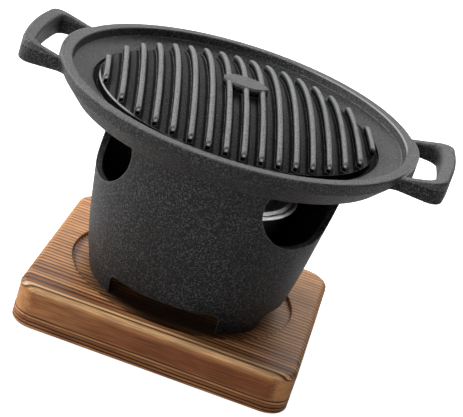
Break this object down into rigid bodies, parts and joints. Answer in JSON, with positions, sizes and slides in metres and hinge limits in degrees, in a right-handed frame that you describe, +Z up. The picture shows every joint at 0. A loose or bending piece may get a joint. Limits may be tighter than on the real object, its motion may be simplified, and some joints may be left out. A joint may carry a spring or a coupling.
{
  "type": "table-top grill",
  "caption": "Table-top grill: a ribbed round cast plate with two loop handles on a notched cast stove with a spirit burner, standing in a recessed wooden board.",
  "frame": {"origin": "on the table, under the centre of the wooden board", "axes": "+Z up; X runs through both handles of the grill plate; the user stands on the -Y side"},
  "size_m": [0.2652, 0.2202, 0.1608],
  "materials": {
    "charred_wood": "brushed and charred softwood with a thin clear coat",
    "cast_stove": "matt dark coating over a fine sand-cast grain",
    "cast_plate": "matt dark non-stick coating over a fine cast grain, worn brighter on the edges",
    "cup_steel": "bright pressed stainless steel",
    "collar_steel": "bright pressed stainless steel",
    "gauze_wire": "fine woven wire",
    "mineral_wadding": "soft white mineral fibre",
    "regulator_steel": "brushed stainless sheet",
    "washer_steel": "plain steel",
    "rivet_steel": "plain steel"
  },
  "bodies": {
    "base": {"wooden_board": "charred_wood"},
    "stove": {"stove_shell": "cast_stove"},
    "plate": {"grill_plate": "cast_plate"},
    "burner": {"burner_cup": "cup_steel", "burner_collar": "collar_steel", "flame_gauze": "gauze_wire", "fuel_wadding": "mineral_wadding", "regulator_washer": "washer_steel", "regulator_rivet": "rivet_steel"},
    "regulator": {"flame_regulator": "regulator_steel"}
  },
  "joints": [
    {"name": "stove_lift", "type": "slide", "parent": "base", "child": "stove", "axis": [0, 0, 1], "range_m": [0, 0.06]},
    {"name": "plate_lift", "type": "slide", "parent": "stove", "child": "plate", "axis": [0, 0, 1], "range_m": [0, 0.08]},
    {"name": "burner_lift", "type": "slide", "parent": "stove", "child": "burner", "axis": [0, 0, 1], "range_m": [0, 0.04]},
    {"name": "regulator_turn", "type": "hinge", "parent": "burner", "child": "regulator", "pos_m": [0, 0, 0.0945], "axis": [0, 0, 1], "range_deg": [0, 45]}
  ]
}
